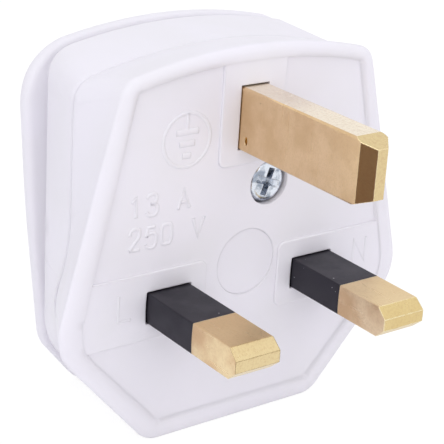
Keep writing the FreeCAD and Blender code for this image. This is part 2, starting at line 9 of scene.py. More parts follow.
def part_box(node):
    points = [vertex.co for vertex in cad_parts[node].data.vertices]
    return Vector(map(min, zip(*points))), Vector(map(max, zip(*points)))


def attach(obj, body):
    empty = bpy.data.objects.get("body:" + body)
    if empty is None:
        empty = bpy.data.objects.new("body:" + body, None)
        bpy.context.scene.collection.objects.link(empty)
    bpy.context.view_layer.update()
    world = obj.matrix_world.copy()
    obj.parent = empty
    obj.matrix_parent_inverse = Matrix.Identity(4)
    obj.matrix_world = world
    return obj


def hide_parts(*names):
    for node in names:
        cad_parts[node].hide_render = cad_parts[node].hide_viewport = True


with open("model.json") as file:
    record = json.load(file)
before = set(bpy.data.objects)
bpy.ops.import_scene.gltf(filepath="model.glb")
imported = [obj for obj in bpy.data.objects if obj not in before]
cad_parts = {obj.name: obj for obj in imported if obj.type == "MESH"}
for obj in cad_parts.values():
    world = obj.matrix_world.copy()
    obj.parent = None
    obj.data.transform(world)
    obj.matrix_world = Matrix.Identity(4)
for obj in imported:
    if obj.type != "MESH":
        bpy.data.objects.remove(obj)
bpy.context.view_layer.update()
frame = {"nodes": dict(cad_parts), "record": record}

cadNodes = frame["nodes"]
mm = 0.001
print("frame loaded:", len(cadNodes), "nodes")


# places that the marks and the case share, read off the nodes they belong to
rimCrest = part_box("base")[0][1]  # the foremost edge of the case
pinLine = (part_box("line_sleeve")[0][2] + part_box("line_sleeve")[1][2]) / 2
earthLine = (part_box("earth_terminal_screw")[0][2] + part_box("earth_terminal_screw")[1][2]) / 2


# small helpers for node trees

def addNode(tree, kind, values=None, **settings):
    node = tree.nodes.new(kind)
    for key, value in settings.items():
        setattr(node, key, value)
    for key, value in (values or {}).items():
        node.inputs[key].default_value = value
    return node


def addMath(tree, operation, first, second=None, clamp=False):
    node = addNode(tree, "ShaderNodeMath", operation=operation, use_clamp=clamp)
    for slot, value in enumerate((first, second)):
        if value is None:
            continue
        if isinstance(value, (int, float)):
            node.inputs[slot].default_value = value
        else:
            tree.links.new(value, node.inputs[slot])
    return node.outputs[0]


def remap(tree, value, low, high, toLow=0.0, toHigh=1.0):
    node = addNode(tree, "ShaderNodeMapRange", interpolation_type="SMOOTHSTEP")
    tree.links.new(value, node.inputs["Value"])
    for key, number in (("From Min", low), ("From Max", high), ("To Min", toLow), ("To Max", toHigh)):
        if isinstance(number, (int, float)):
            node.inputs[key].default_value = number
        else:
            tree.links.new(number, node.inputs[key])
    return node.outputs["Result"]


def blendColour(tree, share, first, second):
    node = addNode(tree, "ShaderNodeMix", data_type="RGBA", clamp_factor=True)
    tree.links.new(share, node.inputs["Factor"])
    for slot, value in (("A", first), ("B", second)):
        socket = [s for s in node.inputs if s.name == slot and s.type == "RGBA"][0]
        if isinstance(value, tuple):
            socket.default_value = (*value, 1.0)
        else:
            tree.links.new(value, socket)
    return [s for s in node.outputs if s.type == "RGBA"][0]


def newGroup(name, inputs, outputs):
    group = bpy.data.node_groups.new(name, "ShaderNodeTree")
    for label, kind, value in inputs:
        socket = group.interface.new_socket(label, in_out="INPUT", socket_type="NodeSocket" + kind)
        socket.default_value = value
    for label, kind in outputs:
        group.interface.new_socket(label, in_out="OUTPUT", socket_type="NodeSocket" + kind)
    return group, group.nodes.new("NodeGroupInput"), group.nodes.new("NodeGroupOutput")


def useGroup(tree, group, values):
    node = addNode(tree, "ShaderNodeGroup", node_tree=group)
    for key, value in values.items():
        node.inputs[key].default_value = value
    return node


# shared effects

def grainGroup():
    # fine moulded or cast texture, and slow patches of tone
    group, put, out = newGroup(
        "fineGrain",
        [("Grain Scale", "Float", 4000.0), ("Patch Scale", "Float", 120.0)],
        [("Grain", "Float"), ("Patches", "Float")],
    )
    place = addNode(group, "ShaderNodeTexCoord").outputs["Object"]
    grain = addNode(group, "ShaderNodeTexNoise", {"Detail": 3.0, "Roughness": 0.6})
    patches = addNode(group, "ShaderNodeTexNoise", {"Detail": 3.0, "Roughness": 0.55})
    for noise, key in ((grain, "Grain Scale"), (patches, "Patch Scale")):
        group.links.new(place, noise.inputs["Vector"])
        group.links.new(put.outputs[key], noise.inputs["Scale"])
    group.links.new(grain.outputs[0], out.inputs["Grain"])
    group.links.new(patches.outputs[0], out.inputs["Patches"])
    return group


def streakGroup():
    # fine lines along one direction, such as drawing lines, and scuffs where they break up
    group, put, out = newGroup(
        "streaks",
        [("Stretch", "Vector", (1.0, 1.0, 1.0)), ("Scale", "Float", 1000.0), ("Cover", "Float", 0.5)],
        [("Lines", "Float"), ("Scuffs", "Float")],
    )
    place = addNode(group, "ShaderNodeTexCoord").outputs["Object"]
    stretched = addNode(group, "ShaderNodeVectorMath", operation="MULTIPLY")
    group.links.new(place, stretched.inputs[0])
    group.links.new(put.outputs["Stretch"], stretched.inputs[1])
    lines = addNode(group, "ShaderNodeTexNoise", {"Detail": 4.0, "Roughness": 0.65})
    group.links.new(stretched.outputs[0], lines.inputs["Vector"])
    group.links.new(put.outputs["Scale"], lines.inputs["Scale"])
    breakUp = addNode(group, "ShaderNodeTexNoise", {"Scale": 330.0, "Detail": 2.0})
    group.links.new(place, breakUp.inputs["Vector"])
    barest, coverRange, softness = 0.86, 0.3, 0.06
    covered = addMath(group, "MULTIPLY", put.outputs["Cover"], coverRange)
    threshold = addMath(group, "SUBTRACT", barest, covered)
    upper = addMath(group, "ADD", threshold, softness)
    thin = remap(group, lines.outputs[0], threshold, upper)
    broken = remap(group, breakUp.outputs[0], 0.45, 0.62)
    group.links.new(lines.outputs[0], out.inputs["Lines"])
    group.links.new(addMath(group, "MULTIPLY", thin, broken), out.inputs["Scuffs"])
    return group


def edgeGroup():
    # softened edges, and a mask of edges broken up by noise: rubbed wear on the sleeves, and painted
    # highlights along the edges of the brass and zinc
    group, put, out = newGroup(
        "edgeRub",
        [("Radius", "Float", 0.0002), ("Break Up", "Float", 900.0)],
        [("Mask", "Float"), ("Normal", "Vector")],
    )
    bevel = addNode(group, "ShaderNodeBevel", samples=6)
    group.links.new(put.outputs["Radius"], bevel.inputs["Radius"])
    flat = addNode(group, "ShaderNodeNewGeometry")
    dot = addNode(group, "ShaderNodeVectorMath", operation="DOT_PRODUCT")
    group.links.new(bevel.outputs[0], dot.inputs[0])
    group.links.new(flat.outputs["Normal"], dot.inputs[1])
    turned = addMath(group, "SUBTRACT", 1.0, dot.outputs["Value"])
    place = addNode(group, "ShaderNodeTexCoord").outputs["Object"]
    noise = addNode(group, "ShaderNodeTexNoise", {"Detail": 3.0, "Roughness": 0.6})
    group.links.new(place, noise.inputs["Vector"])
    group.links.new(put.outputs["Break Up"], noise.inputs["Scale"])
    rubbed = remap(group, turned, 0.004, 0.1)
    broken = remap(group, noise.outputs[0], 0.32, 0.6)
    group.links.new(addMath(group, "MULTIPLY", rubbed, broken), out.inputs["Mask"])
    group.links.new(bevel.outputs[0], out.inputs["Normal"])
    return group


def dustAndShadeGroup():
    # dust that gathers in corners and grooves, together with painted shade there: the mask follows
    # ambient occlusion, so the finishes darken closed corners and creases
    group, put, out = newGroup("cornerDustAndShade", [("Reach", "Float", 0.0012)], [("Mask", "Float")])
    shade = addNode(group, "ShaderNodeAmbientOcclusion", samples=8)
    group.links.new(put.outputs["Reach"], shade.inputs["Distance"])
    place = addNode(group, "ShaderNodeTexCoord").outputs["Object"]
    noise = addNode(group, "ShaderNodeTexNoise", {"Scale": 700.0, "Detail": 3.0})
    group.links.new(place, noise.inputs["Vector"])
    closed = remap(group, addMath(group, "SUBTRACT", 1.0, shade.outputs["AO"]), 0.38, 0.85)
    gatheredDustAndShade = addMath(group, "MULTIPLY", closed, remap(group, noise.outputs[0], 0.25, 0.6))
    group.links.new(gatheredDustAndShade, out.inputs["Mask"])
    return group


def speckGroup():
    # scattered dots, some cells only
    group, put, out = newGroup(
        "specks",
        [("Scale", "Float", 900.0), ("Size", "Float", 0.12), ("Share", "Float", 0.2)],
        [("Mask", "Float")],
    )
    place = addNode(group, "ShaderNodeTexCoord").outputs["Object"]
    cells = addNode(group, "ShaderNodeTexVoronoi", feature="F1", distance="EUCLIDEAN")
    group.links.new(place, cells.inputs["Vector"])
    group.links.new(put.outputs["Scale"], cells.inputs["Scale"])
    parts = addNode(group, "ShaderNodeSeparateColor")
    group.links.new(cells.outputs["Color"], parts.inputs[0])
    size = addMath(group, "MULTIPLY", put.outputs["Size"], parts.outputs[1])
    near = addMath(group, "LESS_THAN", cells.outputs["Distance"], size)
    chosen = addMath(group, "LESS_THAN", parts.outputs[0], put.outputs["Share"])
    group.links.new(addMath(group, "MULTIPLY", near, chosen), out.inputs["Mask"])
    return group


fineGrain = grainGroup()
streaks = streakGroup()
edgeRub = edgeGroup()
cornerDustAndShade = dustAndShadeGroup()
specks = speckGroup()
print("shared effects built")


# finishes

def newFinish(name):
    material = bpy.data.materials.new(name)
    material.use_nodes = True
    tree = material.node_tree
    return material, tree, tree.nodes["Principled BSDF"]


def addBump(tree, surface, height, strength, distance, normal=None):
    bump = addNode(tree, "ShaderNodeBump", {"Strength": strength, "Distance": distance})
    tree.links.new(height, bump.inputs["Height"])
    if normal is not None:
        tree.links.new(normal, bump.inputs["Normal"])
    tree.links.new(bump.outputs[0], surface.inputs["Normal"])


whiteCase = {
    "colour": (0.83, 0.812, 0.862),
    "warmPatch": (0.815, 0.8, 0.835),
    # grey dust in closed corners, which also paints the shade in the creases, such as the line inside
    # the rim
    "dustAndShade": (0.52, 0.5, 0.53),
    "dustAndShadeAmount": 0.1,
    "fleck": (0.5, 0.47, 0.46),
    "fleckAmount": 0.5,
    "roughness": (0.44, 0.54),
    "scuffRoughness": 0.12,
    "scuffDepth": 0.6,
    "index": 1.49,
    "glowThrough": 0.12,  # the share of light that passes just under the surface
    "glowTint": (1.0, 0.95, 1.0),
    "glowReach": 0.6 * mm,
    "edgeRadius": 0.22 * mm,
    "bump": 0.08,
    "bumpHeight": 0.05 * mm,
}


def caseFinish(name, look):
    material, tree, surface = newFinish(name)
    grain = useGroup(tree, fineGrain, {"Grain Scale": 5200.0, "Patch Scale": 90.0})
    edges = useGroup(tree, edgeRub, {"Radius": look["edgeRadius"], "Break Up": 700.0})
    dustAndShade = useGroup(tree, cornerDustAndShade, {"Reach": 0.9 * mm})
    flecks = useGroup(tree, specks, {"Scale": 260.0, "Size": 0.045, "Share": 0.1})
    rubbed = useGroup(tree, streaks, {"Stretch": (1.0, 0.5, 0.09), "Scale": 2600.0, "Cover": 0.35})
    patches = remap(tree, grain.outputs["Patches"], 0.35, 0.7)
    tone = blendColour(tree, patches, look["colour"], look["warmPatch"])
    # closed corners and creases are greyed: dust, and painted shade
    dustAndShadeShare = addMath(tree, "MULTIPLY", dustAndShade.outputs["Mask"], look["dustAndShadeAmount"])
    tone = blendColour(tree, dustAndShadeShare, tone, look["dustAndShade"])
    flecked = addMath(tree, "MULTIPLY", flecks.outputs["Mask"], look["fleckAmount"])
    tone = blendColour(tree, flecked, tone, look["fleck"])
    tree.links.new(tone, surface.inputs["Base Color"])
    rough = remap(tree, grain.outputs["Patches"], 0.3, 0.75, *look["roughness"])
    dulled = addMath(tree, "MULTIPLY", rubbed.outputs["Scuffs"], look["scuffRoughness"])
    tree.links.new(addMath(tree, "ADD", rough, dulled), surface.inputs["Roughness"])
    surface.inputs["IOR"].default_value = look["index"]
    surface.inputs["Subsurface Weight"].default_value = look["glowThrough"]
    surface.inputs["Subsurface Radius"].default_value = look["glowTint"]
    surface.inputs["Subsurface Scale"].default_value = look["glowReach"]
    scuffs = addMath(tree, "MULTIPLY", rubbed.outputs["Scuffs"], look["scuffDepth"])
    height = addMath(tree, "SUBTRACT", grain.outputs["Grain"], scuffs)
    addBump(tree, surface, height, look["bump"], look["bumpHeight"], edges.outputs["Normal"])
    return material


rosyBrass = {
    "colour": (0.795, 0.58, 0.345),
    "deep": (0.7, 0.49, 0.275),
    # upward faces: paler, a painted highlight for the light from above
    "top": (0.92, 0.855, 0.73),
    "milled": (0.72, 0.585, 0.315),
    "grain": (0.6, 0.4, 0.23),
    "edge": (0.95, 0.8, 0.5),
    # painted highlight: bright lines along the edges of the tip
    "tipEdgeLightAndShade": (0.95, 0.8, 0.5),
    "spot": (0.3, 0.2, 0.12),
    "roughness": (0.23, 0.28),
    "edgeRadius": 0.16 * mm,
}
paleBrass = {
    "colour": (0.85, 0.68, 0.425),
    "deep": (0.7, 0.48, 0.28),
    # upward faces: darker, painted shade for the dimmer reflection they show
    "top": (0.73, 0.51, 0.26),
    "milled": (0.775, 0.635, 0.36),
    "grain": (0.6, 0.42, 0.22),
    "edge": (0.96, 0.84, 0.54),
    # painted shade: dark lines along the edges of the tip
    "tipEdgeLightAndShade": (0.3, 0.19, 0.085),
    "spot": (0.34, 0.24, 0.14),
    "roughness": (0.27, 0.32),
    "edgeRadius": 0.16 * mm,
}
neutralBrass = {
    **paleBrass,
    "colour": (0.89, 0.7, 0.46),
    # upward faces: darker, painted shade for the dimmer reflection they show
    "top": (0.75, 0.57, 0.32),
    "milled": (0.73, 0.575, 0.265),
    # painted highlight: bright lines along the edges of the tip
    "tipEdgeLightAndShade": (1.0, 0.94, 0.68),
}
# how strongly each mark shows on any of the three
brassWear = {
    "lines": 0.2,
    "grain": 0.28,
    "tipGrain": 0.12,  # what the tip has beyond the rest
    "top": 0.8,
    "milled": 0.85,
    "edge": 0.75,
    "tipEdgeLightAndShade": 0.9,
    "spot": 0.55,
    "scuffRoughness": 0.12,
    "grainDepth": 0.7,
    "bump": 0.06,
    "bumpHeight": 0.03 * mm,
}
drawnAlong = (1.0, 0.08, 1.0)  # drawing lines run along the pin
drawnAcross = (0.3, 1.0, 0.06)


def facing(tree, axis, sign, low, high):
    # faces of the part that look along an axis
    flat = addNode(tree, "ShaderNodeNewGeometry")
    parts = addNode(tree, "ShaderNodeSeparateXYZ")
    tree.links.new(flat.outputs["True Normal"], parts.inputs[0])
    return remap(tree, addMath(tree, "MULTIPLY", parts.outputs[axis], sign), low, high)


def brassFinish(name, look, stretch, wear=brassWear):
    material, tree, surface = newFinish(name)
    grain = useGroup(tree, fineGrain, {"Grain Scale": 3600.0, "Patch Scale": 260.0})
    drawn = useGroup(tree, streaks, {"Stretch": stretch, "Scale": 2200.0, "Cover": 0.75})
    edges = useGroup(tree, edgeRub, {"Radius": look["edgeRadius"], "Break Up": 1400.0})
    spots = useGroup(tree, specks, {"Scale": 420.0, "Size": 0.085, "Share": 0.1})
    patches = remap(tree, grain.outputs["Patches"], 0.34, 0.68)
    tone = blendColour(tree, patches, look["colour"], look["deep"])
    lined = addMath(tree, "MULTIPLY", remap(tree, drawn.outputs["Lines"], 0.52, 0.78), wear["lines"])
    tone = blendColour(tree, lined, tone, look["deep"])
    tip = facing(tree, "Y", -1.0, 0.2, 0.3)  # the slopes and the end, cut after drawing
    tipEdges = addMath(tree, "MULTIPLY", remap(tree, edges.outputs["Mask"], 0.03, 0.2), tip)
    cut = addMath(tree, "ADD", wear["grain"], addMath(tree, "MULTIPLY", tip, wear["tipGrain"]))
    grainy = addMath(tree, "MULTIPLY", remap(tree, grain.outputs["Grain"], 0.42, 0.7), cut)
    for key, mask, share in (
        # upward faces take the look's top colour: painted light from above, paler on the earth pin
        # and darker on the line and neutral pins
        ("top", facing(tree, "Z", 1.0, 0.96, 0.985), wear["top"]),
        ("milled", tip, wear["milled"]),
        ("grain", grainy, 1.0),
        # rubbed edges, drawn paler: wear, with a painted highlight along them
        ("edge", edges.outputs["Mask"], wear["edge"]),
        # lines along the tip's edges: painted shade on the line pin, painted highlight on the earth
        # and neutral pins
        ("tipEdgeLightAndShade", tipEdges, wear["tipEdgeLightAndShade"]),
        ("spot", spots.outputs["Mask"], wear["spot"]),
    ):
        tone = blendColour(tree, addMath(tree, "MULTIPLY", mask, share), tone, look[key])
    tree.links.new(tone, surface.inputs["Base Color"])
    surface.inputs["Metallic"].default_value = 1.0
    rough = remap(tree, drawn.outputs["Lines"], 0.3, 0.75, *look["roughness"])
    dulled = addMath(tree, "MULTIPLY", drawn.outputs["Scuffs"], wear["scuffRoughness"])
    tree.links.new(addMath(tree, "ADD", rough, dulled), surface.inputs["Roughness"])
    fine = addMath(tree, "MULTIPLY", grain.outputs["Grain"], wear["grainDepth"])
    height = addMath(tree, "ADD", drawn.outputs["Lines"], fine)
    addBump(tree, surface, height, wear["bump"], wear["bumpHeight"], edges.outputs["Normal"])
    return material


blackSleeve = {
    "colour": (0.009, 0.008, 0.012),
    "worn": (0.06, 0.057, 0.068),
    "speck": (0.55, 0.54, 0.56),
    "speckAmount": 0.6,
    "wornEdges": 0.6,
    "wornScuffs": 0.5,
    "shine": (0.87, 0.83, 1.0),
    "index": 1.45,
    "roughness": (0.36, 0.5),
    "edgeRadius": 0.18 * mm,
    "bump": 0.16,
    "bumpHeight": 0.04 * mm,
}


def sleeveFinish(name, look):
    material, tree, surface = newFinish(name)
    grain = useGroup(tree, fineGrain, {"Grain Scale": 4200.0, "Patch Scale": 300.0})
    edges = useGroup(tree, edgeRub, {"Radius": look["edgeRadius"], "Break Up": 2200.0})
    dots = useGroup(tree, specks, {"Scale": 1500.0, "Size": 0.2, "Share": 0.08})
    rubbed = useGroup(tree, streaks, {"Stretch": (1.0, 0.07, 1.0), "Scale": 2600.0, "Cover": 0.7})
    wornEdges = addMath(tree, "MULTIPLY", edges.outputs["Mask"], look["wornEdges"])
    scuffs = addMath(tree, "MULTIPLY", rubbed.outputs["Scuffs"], look["wornScuffs"])
    worn = addMath(tree, "ADD", wornEdges, scuffs, clamp=True)
    tone = blendColour(tree, worn, look["colour"], look["worn"])
    dotted = addMath(tree, "MULTIPLY", dots.outputs["Mask"], look["speckAmount"])
    tone = blendColour(tree, dotted, tone, look["speck"])
    tree.links.new(tone, surface.inputs["Base Color"])
    rough = remap(tree, grain.outputs["Patches"], 0.3, 0.7, *look["roughness"])
    tree.links.new(rough, surface.inputs["Roughness"])
    surface.inputs["IOR"].default_value = look["index"]
    surface.inputs["Specular Tint"].default_value = (*look["shine"], 1.0)
    bump, bumpHeight = look["bump"], look["bumpHeight"]
    addBump(tree, surface, grain.outputs["Grain"], bump, bumpHeight, edges.outputs["Normal"])
    return material


brightZinc = {
    "colour": (0.75, 0.79, 0.86),
    "deep": (0.32, 0.36, 0.43),
    "edge": (0.95, 0.95, 0.96),
    # near-black grime in the cross recess and the screw's corners, which also paints the shade there
    "grimeAndShade": (0.07, 0.068, 0.075),
    "grimeAndShadeAmount": 0.85,
    "roughness": (0.14, 0.3),
    "edgeRadius": 0.1 * mm,
    "bump": 0.2,
    "bumpHeight": 0.05 * mm,
}


def zincFinish(name, look):
    material, tree, surface = newFinish(name)
    grain = useGroup(tree, fineGrain, {"Grain Scale": 2600.0, "Patch Scale": 900.0})
    edges = useGroup(tree, edgeRub, {"Radius": look["edgeRadius"], "Break Up": 1800.0})
    dustAndShade = useGroup(tree, cornerDustAndShade, {"Reach": 0.8 * mm})
    patches = remap(tree, grain.outputs["Patches"], 0.42, 0.66)
    tone = blendColour(tree, patches, look["colour"], look["deep"])
    # painted highlight: a bright line along the screw's edges
    tone = blendColour(tree, edges.outputs["Mask"], tone, look["edge"])
    # the recess and closed corners go near black: grime, and painted shade
    grimeAndShadeShare = addMath(tree, "MULTIPLY", dustAndShade.outputs["Mask"], look["grimeAndShadeAmount"])
    tone = blendColour(tree, grimeAndShadeShare, tone, look["grimeAndShade"])
    tree.links.new(tone, surface.inputs["Base Color"])
    surface.inputs["Metallic"].default_value = 1.0
    rough = remap(tree, grain.outputs["Grain"], 0.3, 0.7, *look["roughness"])
    tree.links.new(rough, surface.inputs["Roughness"])
    bump, bumpHeight = look["bump"], look["bumpHeight"]
    addBump(tree, surface, grain.outputs["Patches"], bump, bumpHeight, edges.outputs["Normal"])
    return material


# colour, deeper tone, metal or not, and the range of roughness
innerFinishes = {
    "cap_metal": ((0.66, 0.65, 0.62), (0.5, 0.49, 0.46), 1.0, (0.22, 0.4)),
    "fuse_ceramic": ((0.74, 0.7, 0.6), (0.66, 0.61, 0.5), 0.0, (0.5, 0.7)),
    "fuse_copper": ((0.7, 0.4, 0.26), (0.5, 0.28, 0.18), 1.0, (0.25, 0.45)),
    "grip_plastic": ((0.78, 0.77, 0.8), (0.72, 0.71, 0.73), 0.0, (0.4, 0.55)),
    "washer_fibre": ((0.4, 0.08, 0.05), (0.28, 0.05, 0.035), 0.0, (0.6, 0.8)),
}
innerSurface = {"edgeRadius": 0.1 * mm, "bump": 0.12, "bumpHeight": 0.04 * mm}


def innerFinish(name, colour, deep, metal, roughness, worked=innerSurface):
    material, tree, surface = newFinish(name)
    grain = useGroup(tree, fineGrain, {"Grain Scale": 3600.0, "Patch Scale": 420.0})
    edges = useGroup(tree, edgeRub, {"Radius": worked["edgeRadius"], "Break Up": 1200.0})
    tone = blendColour(tree, remap(tree, grain.outputs["Patches"], 0.35, 0.65), colour, deep)
    tree.links.new(tone, surface.inputs["Base Color"])
    surface.inputs["Metallic"].default_value = metal
    rough = remap(tree, grain.outputs["Grain"], 0.3, 0.7, *roughness)
    tree.links.new(rough, surface.inputs["Roughness"])
    bump, bumpHeight = worked["bump"], worked["bumpHeight"]
    addBump(tree, surface, grain.outputs["Grain"], bump, bumpHeight, edges.outputs["Normal"])
    return material


finishes = {
    "case_plastic": caseFinish("whiteCase", whiteCase),
    "pin_brass": brassFinish("paleBrass", paleBrass, drawnAlong),
    "sleeve_plastic": sleeveFinish("blackSleeve", blackSleeve),
    "zinc_steel": zincFinish("brightZinc", brightZinc),
}
for slotName, look in innerFinishes.items():
    finishes[slotName] = innerFinish(slotName, *look)
ownFinishes = {
    "earth_pin": brassFinish("rosyBrass", rosyBrass, drawnAcross),
    "neutral_pin": brassFinish("neutralBrass", neutralBrass, drawnAlong),
}
for entry in frame["record"]["subparts"]:
    node = cadNodes[entry["node"]]
    for place in node.material_slots:
        place.material = ownFinishes.get(entry["node"], finishes[entry["material_slot"]])


# case halves: the solids' own form, welded and shaded as one smooth moulding

caseShading = {"sharpAngle": 68.0, "weld": 0.002 * mm}
# the moulding grips the earth pin, so its slot shows a thinner gap than the solids need
earthSlot = {
    "halfWidth": 1.985 * mm,
    "halfHeight": 3.96 * mm,
    "reach": 0.3 * mm,
    "sideGap": 0.09 * mm,
    "topGap": 0.14 * mm,
    "footGap": 0.05 * mm,
}
screwWell = {"radius": 3.1 * mm, "shownRadius": 2.88 * mm, "reach": 0.03 * mm}


def addPiece(name, mesh, slotName):
    piece = bpy.data.objects.new(name, mesh)
    bpy.context.scene.collection.objects.link(piece)
    mesh.materials.clear()
    mesh.materials.append(finishes[slotName])
    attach(piece, "root")
    return piece


def closeSlot(shape, slot):
    wide = slot["halfWidth"] + slot["sideGap"]
    top = slot["halfHeight"] + slot["topGap"]
    foot = -slot["halfHeight"] - slot["footGap"]
    for vertex in shape.verts:
        x, z = vertex.co.x, vertex.co.z - earthLine
        if abs(x) < slot["halfWidth"] + slot["reach"] and abs(z) < slot["halfHeight"] + slot["reach"]:
            vertex.co.x = max(-wide, min(wide, x))
            vertex.co.z = earthLine + max(foot, min(top, z))


def closeWell(shape, well):
    low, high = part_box("cover_screw")
    x, z = (low[0] + high[0]) / 2, (low[2] + high[2]) / 2
    for vertex in shape.verts:
        arm = Vector((vertex.co.x - x, 0.0, vertex.co.z - z))
        if abs(arm.length - well["radius"]) < well["reach"]:
            vertex.co += arm * (well["shownRadius"] / arm.length - 1.0)


def smoothHalf(name, nodeName, shading, slot=None, well=None):
    shape = bmesh.new()
    shape.from_mesh(cadNodes[nodeName].data)
    bmesh.ops.remove_doubles(shape, verts=shape.verts, dist=shading["weld"])
    if slot:
        closeSlot(shape, slot)
    if well:
        closeWell(shape, well)
    bmesh.ops.recalc_face_normals(shape, faces=shape.faces)
    mesh = bpy.data.meshes.new(name)
    shape.to_mesh(mesh)
    shape.free()
    if "custom_normal" in mesh.attributes:
        mesh.attributes.remove(mesh.attributes["custom_normal"])
    mesh.shade_smooth()
    mesh.set_sharp_from_angle(angle=math.radians(shading["sharpAngle"]))
    half = addPiece(name, mesh, "case_plastic")
    even = half.modifiers.new("evenShading", "WEIGHTED_NORMAL")
    even.keep_sharp = True
    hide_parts(nodeName)
    return half


smoothHalf("caseBase", "base", caseShading, earthSlot, screwWell)
smoothHalf("caseCover", "cover", caseShading)
print("case halves shaded")


# raised marks on the pin face: each stroke is a low rounded bead
# a stroke is (kind, points): s straight, c curved, o closed and curved; cap height 1

strokeLetters = {
    "1": [("s", [(0.1, 0.76), (0.34, 1.0), (0.34, 0.0)])],
    "2": [
        ("c", [(0.04, 0.74), (0.05, 1.04), (0.56, 1.06), (0.6, 0.62), (0.3, 0.34), (0.03, 0.0)]),
        ("s", [(0.03, 0.0), (0.6, 0.0)]),
    ],
    "3": [
        ("c", [(0.04, 0.84), (0.1, 1.03), (0.54, 1.04), (0.58, 0.56), (0.24, 0.54)]),
        ("c", [(0.24, 0.54), (0.64, 0.55), (0.63, -0.04), (0.1, -0.04), (0.03, 0.17)]),
    ],
    "5": [
        ("s", [(0.54, 1.0), (0.13, 1.0), (0.08, 0.53)]),
        ("c", [(0.08, 0.53), (0.2, 0.7), (0.63, 0.68), (0.62, -0.04), (0.12, -0.05), (0.02, 0.16)]),
    ],
    "0": [
        ("o", [(0.3, 1), (0.55, 1), (0.6, 0.5), (0.55, 0), (0.3, 0), (0.05, 0), (0, 0.5), (0.05, 1)]),
    ],
    "A": [("s", [(0.0, 0.0), (0.32, 1.0), (0.64, 0.0)]), ("s", [(0.11, 0.34), (0.53, 0.34)])],
    "V": [("s", [(0.0, 1.0), (0.32, 0.0), (0.64, 1.0)])],
    "L": [("s", [(0.0, 1.0), (0.0, 0.0), (0.52, 0.0)])],
    "N": [("s", [(0.0, 0.0), (0.0, 1.0), (0.62, 0.0), (0.62, 1.0)])],
}
faceMarks = {
    "beadWidth": 0.6,
    "ratingHeight": 0.19,
    "letterHeight": 0.15,
    "ringHeight": 0.17,
    "barHeight": 0.2,
    "beadSink": 0.1,
    "curveSteps": 6,
    "roundSteps": 3,
    "faceDepth": 0.5,  # below the rim's crest
    "panelDepth": 0.2,
    "ratingSize": 2.55,
    "ratingStep": 0.894,  # from letter to letter, in cap heights
    # each line's left end and its height above the pins
    "ratingLines": [("13 A", -17.07, 11.95), ("250 V", -17.05, 7.85)],
    "pinLetterSize": 3.4,
    "pinLetters": [("L", -18.35, -0.95), ("N", 18.3, -0.7)],
    "earthCentre": (-9.45, 20.55),
    "earthRing": 3.4,
    "earthStem": (3.3, 1.0),
    "earthBars": [(1.6, 1.0), (1.1, -0.45), (0.6, -1.95)],  # half width and height of each bar
    "earthBarWidth": 0.95,
}


def beadMesh(name, strokes, depth, width, height, look):
    # strokes are (kind, [(x, height above the pin line)]) in millimetres
    track = bpy.data.curves.new(name, "CURVE")
    track.dimensions = "3D"
    track.resolution_u = look["curveSteps"]
    track.bevel_depth = width / 2
    track.bevel_resolution = look["roundSteps"]
    track.use_fill_caps = True
    for kind, points in strokes:
        line = track.splines.new("POLY" if kind == "s" else "NURBS")
        line.points.add(len(points) - 1)
        for point, (x, z) in zip(line.points, points):
            point.co = (x, z, 0.0, 1.0)
        if kind == "c":
            line.use_endpoint_u = True
        line.order_u = 3
        line.use_cyclic_u = kind == "o"
    carrier = bpy.data.objects.new(name, track)
    bpy.context.scene.collection.objects.link(carrier)
    mesh = bpy.data.meshes.new_from_object(carrier)
    bpy.data.objects.remove(carrier)
    bpy.data.curves.remove(track)
    flatten = height / (width / 2)
    for vertex in mesh.vertices:
        x, z, lift = vertex.co
        forward = lift * flatten - look["beadSink"]
        vertex.co = (x * mm, rimCrest + (depth - forward) * mm, pinLine + z * mm)
    mesh.shade_smooth()
    return mesh


def letterStrokes(text, left, base, size, step):
    strokes = []
    for letter in text:
        for kind, points in strokeLetters.get(letter, []):
            strokes.append((kind, [(left + x * size, base + z * size) for x, z in points]))
        left += size * step
    return strokes


def ringStrokes(centre, radius, count=16):
    points = []
    for i in range(count):
        angle = 2 * math.pi * i / count
        points.append((centre[0] + radius * math.cos(angle), centre[1] + radius * math.sin(angle)))
    return [("o", points)]


def buildMarks(look):
    thin = look["beadWidth"]
    rating = []
    for text, left, base in look["ratingLines"]:
        rating += letterStrokes(text, left, base, look["ratingSize"], look["ratingStep"])
    pinLetters = []
    for text, left, base in look["pinLetters"]:
        pinLetters += letterStrokes(text, left, base, look["pinLetterSize"], 1.0)
    x, z = look["earthCentre"]
    ring = ringStrokes(look["earthCentre"], look["earthRing"])
    top, foot = look["earthStem"]
    ring.append(("s", [(x, z + top), (x, z + foot)]))
    bars = []
    for half, height in look["earthBars"]:
        bars.append(("s", [(x - half, z + height), (x + half, z + height)]))
    for name, strokes, depth, width, height in (
        ("ratingMarks", rating, look["faceDepth"], thin, look["ratingHeight"]),
        ("pinLetters", pinLetters, look["panelDepth"], thin, look["letterHeight"]),
        ("earthRing", ring, look["faceDepth"], thin, look["ringHeight"]),
        ("earthBars", bars, look["faceDepth"], look["earthBarWidth"], look["barHeight"]),
    ):
        addPiece(name, beadMesh(name, strokes, depth, width, height, look), "case_plastic")


buildMarks(faceMarks)
print("raised marks built")


# stage, light and camera

